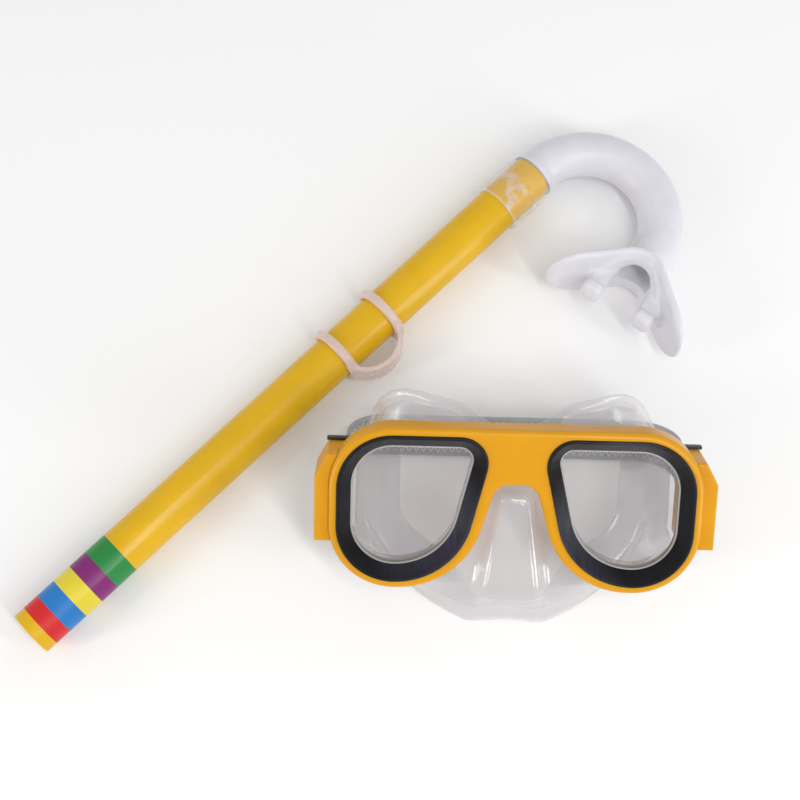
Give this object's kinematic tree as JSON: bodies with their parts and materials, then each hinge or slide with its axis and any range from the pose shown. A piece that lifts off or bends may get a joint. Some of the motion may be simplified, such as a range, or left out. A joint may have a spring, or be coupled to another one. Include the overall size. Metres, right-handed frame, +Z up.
{
  "type": "snorkel mask set",
  "caption": "Child's two-lens diving mask with clear skirt and head strap, and a J snorkel with clear mouthpiece and strap keeper.",
  "frame": {"origin": "on the surface that the set lies on, under the middle of its overall box", "axes": "+Z up from the surface; +X to the right along the mask's width; +Y away from the viewer, from the mask towards the bend of the snorkel"},
  "size_m": [0.2816, 0.2405, 0.0778],
  "materials": {
    "frame_yellow": "glossy moulded plastic",
    "tube_yellow": "glossy extruded plastic",
    "bezel_black": "glossy black moulding",
    "buckle_black": "satin black moulding",
    "lens_clear": "clear tempered lens",
    "gasket_white": "translucent white rubber",
    "skirt_clear": "clear soft vinyl, glossy",
    "strap_grey": "translucent soft vinyl with a raised mesh",
    "pin_steel": "plain pin",
    "mouthpiece_frosted": "frosted clear soft vinyl",
    "keeper_clear": "translucent soft vinyl",
    "band_red": "printed band",
    "band_blue": "printed band",
    "band_lemon": "printed band",
    "band_purple": "printed band",
    "band_green": "printed band"
  },
  "bodies": {
    "mask": {"front_frame": "frame_yellow", "skirt": "skirt_clear", "left_lens": "lens_clear", "left_lens_gasket": "gasket_white", "left_bezel": "bezel_black", "left_buckle_housing": "frame_yellow", "left_buckle": "buckle_black", "left_roller_pin": "pin_steel", "right_lens": "lens_clear", "right_lens_gasket": "gasket_white", "right_bezel": "bezel_black", "right_buckle_housing": "frame_yellow", "right_buckle": "buckle_black", "right_roller_pin": "pin_steel"},
    "head_strap": {"strap_rear_band": "strap_grey", "left_strap_span": "strap_grey", "right_strap_span": "strap_grey"},
    "left_tail": {"left_strap_tail": "strap_grey"},
    "right_tail": {"right_strap_tail": "strap_grey"},
    "left_roller": {"left_strap_roller": "buckle_black"},
    "right_roller": {"right_strap_roller": "buckle_black"},
    "mouthpiece": {"elbow_mouthpiece": "mouthpiece_frosted"},
    "tube": {"snorkel_tube": "tube_yellow", "band_red": "band_red", "band_blue": "band_blue", "band_lemon": "band_lemon", "band_purple": "band_purple", "band_green": "band_green"},
    "keeper": {"snorkel_keeper": "keeper_clear"}
  },
  "joints": [
    {"name": "strap_adjust", "type": "slide", "parent": "mask", "child": "head_strap", "axis": [0, -0.6613, 0.7501], "range_m": [0, 0.008], "deforming": ["left_strap_span", "right_strap_span"]},
    {"name": "left_tail_feed", "type": "slide", "parent": "mask", "child": "left_tail", "axis": [0, 0.6613, -0.7501], "range_m": [0, 0.0085]},
    {"name": "right_tail_feed", "type": "slide", "parent": "mask", "child": "right_tail", "axis": [0, 0.6613, -0.7501], "range_m": [0, 0.0085]},
    {"name": "left_roller_turn", "type": "hinge", "parent": "mask", "child": "left_roller", "pos_m": [-0.0098, -0.05553, 0.04451], "axis": [0, 0.7501, 0.6613], "range_deg": [-196, 5]},
    {"name": "right_roller_turn", "type": "hinge", "parent": "mask", "child": "right_roller", "pos_m": [0.1342, -0.05553, 0.04451], "axis": [0, 0.7501, 0.6613], "range_deg": [-5, 196]},
    {"name": "snorkel_lift", "type": "slide", "parent": "mask", "child": "mouthpiece", "axis": [0, 0, 1], "range_m": [0, 0.12]},
    {"name": "tube_turn", "type": "hinge", "parent": "mouthpiece", "child": "tube", "pos_m": [0.06529, 0.09082, 0.013], "axis": [0.6972, 0.7169, 0], "continuous": true},
    {"name": "keeper_slide", "type": "slide", "parent": "tube", "child": "keeper", "axis": [0.6972, 0.7169, 0], "range_m": [-0.1, 0.06]}
  ],
  "couplings": [
    {"joint": "left_tail_feed", "follows": "strap_adjust", "ratio": 1},
    {"joint": "right_tail_feed", "follows": "strap_adjust", "ratio": 1},
    {"joint": "left_roller_turn", "follows": "strap_adjust", "rad_per_m": -416.67},
    {"joint": "right_roller_turn", "follows": "strap_adjust", "rad_per_m": 416.67}
  ]
}
